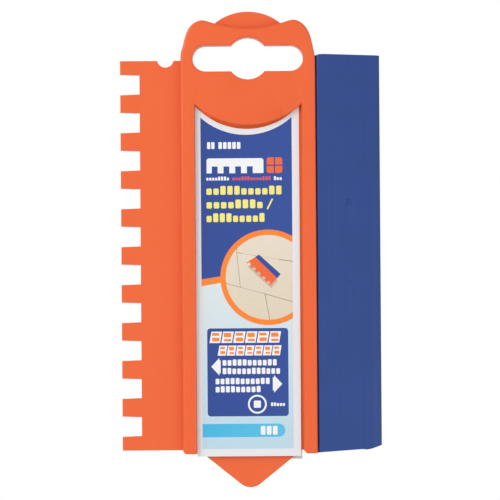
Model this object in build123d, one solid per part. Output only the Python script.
"""Notched adhesive spreader and grout squeegee with a hang tab.

A flat moulded plate carries the square-notched edge, the rounded hang tab and the tongue.
Two handle shells close on it from the front and the back, and their right-hand rails hold
the root of a soft squeegee blade in a T-shaped channel. A paper label lies in each shell.

Millimetres. X runs from the notched edge to the squeegee, Y from front to back, Z up.
The origin is the centre of the hanging slot, in the middle of the thickness.
"""
import os
from math import pi, sqrt, tan

from build123d import *

# Working edges
edge_length = 120.0
edge_top = -0.5
plate_wing = 18.65
blade_width = 19.4

# Square notches
notch_pitch = 11.7
notch_mouth = 6.3
notch_root = 5.86
notch_depth = 5.95
notch_corner_radius = 0.3
end_tooth_least = 3.5

# Spreader plate
plate_thickness = 2.0
plate_edge_radius = 0.25
dome_radius = 16.2
dome_center_z = -1.7
tongue_half_width = 16.0
tongue_slope = 38.8
tongue_tip_radius = 4.7
relief_inset = 4.7
relief_z = 0.0
relief_radius = 2.55

# Hanging slot
slot_length = 34.0
slot_height = 8.0
slot_bulge_radius = 6.5

# Handle shells
handle_half_width = 20.7
handle_thickness = 8.0
handle_overrun = 1.1
handle_corner_chamfer = 0.8
foot_chamfer = 1.0
handle_edge_radius = 0.7
window_edge_radius = 0.5
slot_edge_radius = 0.4
rail_width = 4.3
floor_thickness = 1.2
lip_corner_z = -14.2
lip_sagitta = 6.4
ear_foot_z = -1.0
ear_inset = 0.4
coring_width = 1.5
coring_depth = 1.6
coring_end_margin = 4.0

# Pegs that pin the two shells through the plate
peg_radius = 1.5
peg_x = 11.0
peg_rows = 4
peg_top_z = -10.5
peg_bottom_margin = 13.0
peg_hole_clearance = 0.1
peg_press_clearance = 0.03
peg_end_gap = 0.15

# Squeegee blade and the channel that holds its root
blade_gap = 0.4
blade_shoulder_thickness = 7.4
blade_shoulder_radius = 1.0
blade_tip_thickness = 2.4
blade_edge_thickness = 0.8
blade_bevel_width = 1.7
blade_top_rise = 1.7
blade_top_drop = 0.5
blade_bottom_overrun = 0.9
blade_bottom_rise = 2.05
blade_nib_inset = 4.2
blade_nib_width = 1.0
blade_nib_rise = 0.65
blade_nib_drop = 0.3
root_head_width = 1.8
root_head_thickness = 4.8
root_neck_thickness = 2.8
root_clearance = 0.2
channel_lip_width = 1.2

# Labels
label_thickness = 0.15
label_side_gap = 0.42
label_shift = -0.38
label_lip_gap = 0.25
label_sagitta = 7.2
front_label_overhang = 0.8
back_label_overhang = 1.5
back_label_skew = 0.5

# Derived places
edge_bottom = edge_top - edge_length
handle_bottom = edge_bottom - handle_overrun
half_plate = plate_thickness / 2
half_handle = handle_thickness / 2
floor_face = half_plate + floor_thickness
window_half_width = handle_half_width - rail_width
channel_outer = handle_half_width - channel_lip_width
channel_inner = channel_outer - root_head_width - 2 * root_clearance
channel_half = root_head_thickness / 2 + root_clearance
neck_half = root_neck_thickness / 2 + root_clearance
tooth_reach = handle_half_width + plate_wing
relief_x = -handle_half_width - relief_inset
blade_shoulder = handle_half_width + blade_gap
blade_reach = blade_shoulder + blade_width
blade_top = edge_top + blade_top_rise
channel_top = blade_top + root_clearance
end_tooth_gap = notch_pitch - notch_mouth
notch_count = int((edge_length - 2 * end_tooth_least + end_tooth_gap) / notch_pitch)
notch_span = (notch_count - 1) * notch_pitch
first_notch_z = (edge_top + edge_bottom + notch_span) / 2
peg_bottom_z = handle_bottom + peg_bottom_margin
peg_step = (peg_top_z - peg_bottom_z) / (peg_rows - 1)
peg_places = [
    (side * peg_x, peg_top_z - row * peg_step) for row in range(peg_rows) for side in (-1, 1)
]
cut_margin = 1.0


def slab(sketch, y_low, y_high):
    """Turn a sketch drawn in X and Z into a slab between two Y positions."""
    return extrude(Plane.XZ.offset(-y_high) * sketch, y_high - y_low)


def between(x_low, x_high, z_low, z_high):
    """A rectangle given by its edges."""
    center = ((x_low + x_high) / 2, (z_low + z_high) / 2)
    return Pos(*center) * Rectangle(x_high - x_low, z_high - z_low)


def hanging_slot():
    """Long slot with a round bulge in its middle."""
    return SlotOverall(slot_length, slot_height) + Circle(slot_bulge_radius)


def ear_outline(inset):
    """Top edge of a shell: two rounded ears with a shallow saddle between them."""
    w = handle_half_width - inset
    right = [
        (w, ear_foot_z),
        (w - 0.6, 3.3 - inset),
        (w - 2.0, 8.2 - inset),
        (w - 4.5, 11.1 - inset),
        (w - 6.7, 11.75 - inset),
        (w - 9.1, 11.2 - inset),
        (0.27 * w, 9.75 - inset),
    ]
    left = [(-x, z) for x, z in reversed(right)]
    return Spline(*right, (0, 9.3 - inset), *left, tangents=[(0, 1), (0, -1)])


def shell_outline(inset=0):
    """Whole outline of a handle shell, ears to open bottom."""
    w = handle_half_width - inset
    c = handle_corner_chamfer
    top = ear_outline(inset)
    body = Polyline(
        (-w, ear_foot_z),
        (-w, handle_bottom + c),
        (-w + c, handle_bottom),
        (w, handle_bottom),
        (w, ear_foot_z),
    )
    return make_face([*top.edges(), *body.edges()])


def under_arc(x_left, x_right, corner_z, sagitta, z_bottom_left, z_bottom_right):
    """Area below an arc that sags between two corners, down to a straight lower edge."""
    middle = ((x_left + x_right) / 2, corner_z - sagitta)
    top = ThreePointArc((x_right, corner_z), middle, (x_left, corner_z))
    rest = Polyline(
        (x_left, corner_z),
        (x_left, z_bottom_left),
        (x_right, z_bottom_right),
        (x_right, corner_z),
    )
    return make_face([*top.edges(), *rest.edges()])


def lip_z(x):
    """Height of a shell's curved lip at a given X."""
    radius = (window_half_width ** 2 + lip_sagitta ** 2) / (2 * lip_sagitta)
    center_z = lip_corner_z - lip_sagitta + radius
    return center_z - sqrt(radius ** 2 - x ** 2)


def notch(center_z):
    """One square notch with a little draft, open at the tooth tips."""
    root_x = -tooth_reach + notch_depth
    mouth_x = -tooth_reach
    outer_x = mouth_x - cut_margin
    draft = (notch_mouth - notch_root) / 2 / notch_depth
    outer_half = notch_mouth / 2 + draft * cut_margin
    shape = Polygon(
        (outer_x, center_z - outer_half),
        (root_x, center_z - notch_root / 2),
        (root_x, center_z + notch_root / 2),
        (outer_x, center_z + outer_half),
        align=None,
    )
    corners = shape.vertices().group_by(Axis.X)[-1]
    return fillet(corners, notch_corner_radius)


def tongue():
    """Blunt triangular tongue that runs out below the handle."""
    drop = tongue_half_width * tan(tongue_slope * pi / 180)
    shape = Polygon(
        (-tongue_half_width, edge_bottom),
        (0, edge_bottom - drop),
        (tongue_half_width, edge_bottom),
        align=None,
    )
    tip = shape.vertices().group_by(Axis.Y)[0]
    return fillet(tip, tongue_tip_radius)


def make_spreader_plate():
    """Notched plate, hang tab and tongue in one flat moulding."""
    reach = tooth_reach
    ears = shell_outline(ear_inset) - between(-reach, reach, handle_bottom - cut_margin, channel_top)
    outlines = [
        between(-reach, channel_inner, edge_bottom, edge_top),
        between(-handle_half_width + ear_inset, channel_inner, edge_top, channel_top),
        ears,
        Pos(0, dome_center_z) * Circle(dome_radius),
        tongue(),
    ]
    cutters = [hanging_slot(), Pos(relief_x, relief_z) * Circle(relief_radius)]
    cutters += [notch(first_notch_z - index * notch_pitch) for index in range(notch_count)]
    cutters += [Pos(x, z) * Circle(peg_radius + peg_hole_clearance) for x, z in peg_places]
    plate = Part() + [slab(outline, -half_plate, half_plate) for outline in outlines]
    plate -= [slab(cutter, -half_handle, half_handle) for cutter in cutters]
    rims = plate.faces().filter_by(Axis.Y)
    return chamfer([face.outer_wire().edges() for face in rims], plate_edge_radius)


def is_window_edge(edge):
    """Tell the window's two long sides and its curved lip from the rest of the outer face."""
    inside = abs(edge.center().X) <= window_half_width + cut_margin / 10
    return inside and edge.center().Z < lip_corner_z and edge.length > 2 * rail_width


def is_slot_edge(edge):
    """Tell the hanging slot's edges from the rest of the outer face."""
    x, z = edge.center().X, edge.center().Z
    return abs(x) <= slot_length / 2 and abs(z) <= slot_bulge_radius


def foot_opening():
    """Gap between the rails' feet, which run on below the floor; one foot has a cut corner."""
    w = window_half_width
    return Polygon(
        (-w, handle_bottom - cut_margin),
        (w + foot_chamfer, handle_bottom - cut_margin),
        (w + foot_chamfer, handle_bottom),
        (w, handle_bottom + foot_chamfer),
        (w, edge_bottom),
        (-w, edge_bottom),
        align=None,
    )


def make_shell(side):
    """One handle shell on the side -1 (front) or +1 (back) of the plate."""
    y_inner = half_plate
    shell = slab(shell_outline() - hanging_slot(), y_inner, half_handle)
    rim = shell.faces().sort_by(Axis.Y)[-1].outer_wire()
    shell = fillet(rim.edges(), handle_edge_radius)
    window = under_arc(
        -window_half_width,
        window_half_width,
        lip_corner_z,
        lip_sagitta,
        handle_bottom - cut_margin,
        handle_bottom - cut_margin,
    )
    shell -= slab(window, floor_face, half_handle + cut_margin)
    outer_edges = shell.faces().sort_by(Axis.Y)[-1].edges()
    shell = fillet([e for e in outer_edges if is_window_edge(e)], window_edge_radius)
    outer_edges = shell.faces().sort_by(Axis.Y)[-1].edges()
    shell = fillet([e for e in outer_edges if is_slot_edge(e)], slot_edge_radius)
    shell -= slab(foot_opening(), 0, half_handle + cut_margin)
    shell -= channel_cut(y_inner)
    shell -= left_rail_coring(y_inner)
    return shell if side > 0 else mirror(shell, about=Plane.XZ)


def channel_cut(y_inner):
    """Half of the T-shaped channel for the squeegee root, open at the bottom."""
    z_low = handle_bottom - cut_margin
    head = between(channel_inner, channel_outer, z_low, channel_top)
    neck = between(channel_outer, handle_half_width + cut_margin, z_low, channel_top)
    cut = slab(head, y_inner - cut_margin, channel_half)
    return cut + slab(neck, y_inner - cut_margin, neck_half)


def left_rail_coring(y_inner):
    """Groove that keeps the wall even along the left rail."""
    center_x = -handle_half_width + rail_width / 2
    z_low = handle_bottom + coring_end_margin
    z_high = lip_corner_z
    groove = between(center_x - coring_width / 2, center_x + coring_width / 2, z_low, z_high)
    return slab(groove, y_inner - cut_margin, y_inner + coring_depth)


def make_front_shell():
    """Front shell with the pegs that pass through the plate."""
    shell = make_shell(-1)
    pegs = Sketch() + [Pos(x, z) * Circle(peg_radius) for x, z in peg_places]
    return shell + slab(pegs, -half_plate - floor_thickness / 2, floor_face - peg_end_gap)


def make_back_shell():
    """Back shell with the holes that take the front shell's pegs."""
    shell = make_shell(1)
    radius = peg_radius + peg_press_clearance
    holes = Sketch() + [Pos(x, z) * Circle(radius) for x, z in peg_places]
    return shell - slab(holes, 0, floor_face)


def blade_section():
    """Cross-section in X and Y: T root, rounded shoulder, wedge and bevelled edge."""
    head_x = channel_inner + root_clearance
    neck_x = channel_outer - root_clearance
    bevel_x = blade_reach - blade_bevel_width
    half_head = root_head_thickness / 2
    half_neck = root_neck_thickness / 2
    half_shoulder = blade_shoulder_thickness / 2
    half_tip = blade_tip_thickness / 2
    half_edge = blade_edge_thickness / 2
    lower = [
        (head_x, -half_head),
        (neck_x, -half_head),
        (neck_x, -half_neck),
        (blade_shoulder, -half_neck),
        (blade_shoulder, -half_shoulder),
        (bevel_x, -half_tip),
        (blade_reach, -half_edge),
    ]
    upper = [(x, -y) for x, y in reversed(lower)]
    section = Polygon(*lower, *upper, align=None)
    at_shoulder = section.vertices().filter_by_position(
        Axis.X, blade_shoulder - half_edge, blade_shoulder + half_edge
    )
    shoulders = at_shoulder.group_by(Axis.Y)
    radius = min(blade_shoulder_radius, 0.9 * (half_shoulder - half_neck))
    return fillet([*shoulders[0], *shoulders[-1]], radius)


def make_squeegee_blade():
    """Extruded soft blade, cut to length out of square, with a small nib in its lower cut."""
    head_x = channel_inner + root_clearance
    z_low = edge_bottom - blade_bottom_overrun
    blank_low = z_low - cut_margin
    nib_x = blade_reach - blade_nib_inset
    blank = extrude(Pos(0, 0, blank_low) * blade_section(), blade_top + cut_margin - blank_low)
    trimmed = Polygon(
        (head_x - cut_margin, z_low),
        (blade_shoulder, z_low),
        (nib_x - blade_nib_width, z_low + blade_nib_rise + blade_nib_drop),
        (nib_x, z_low + blade_nib_rise),
        (blade_reach, z_low + blade_bottom_rise),
        (blade_reach + cut_margin, z_low + blade_bottom_rise),
        (blade_reach + cut_margin, blade_top - blade_top_drop),
        (blade_shoulder, blade_top),
        (head_x - cut_margin, blade_top),
        align=None,
    )
    return blank & slab(trimmed, -half_handle, half_handle)


def label_shape(shift, z_bottom_left, z_bottom_right):
    """Label that follows the lip at its top."""
    half = window_half_width - label_side_gap
    corner_z = lip_z(half + abs(shift)) - label_lip_gap
    return under_arc(
        shift - half,
        shift + half,
        corner_z,
        label_sagitta,
        z_bottom_left,
        z_bottom_right,
    )


def make_front_label():
    """Paper label on the front shell's floor, a little left of centre."""
    z_bottom = handle_bottom - front_label_overhang
    shape = label_shape(label_shift, z_bottom, z_bottom)
    return slab(shape, -floor_face - label_thickness, -floor_face)


def make_back_label():
    """Paper label on the back shell's floor, cut a little askew at its lower end."""
    z_left = handle_bottom - back_label_overhang + back_label_skew
    z_right = handle_bottom - back_label_overhang - back_label_skew
    shape = label_shape(0, z_left, z_right)
    return slab(shape, floor_face, floor_face + label_thickness)


def write(name, solid):
    """Write one sub-part to its own STEP file."""
    export_step(solid, f"parts/{name}.step")


os.makedirs("parts", exist_ok=True)
write("spreader_plate", make_spreader_plate())
write("front_handle_shell", make_front_shell())
write("back_handle_shell", make_back_shell())
write("squeegee_blade", make_squeegee_blade())
write("front_label", make_front_label())
write("back_label", make_back_label())
print(f"{notch_count} notches of {notch_root} to {notch_mouth} mm at a pitch of {notch_pitch} mm")
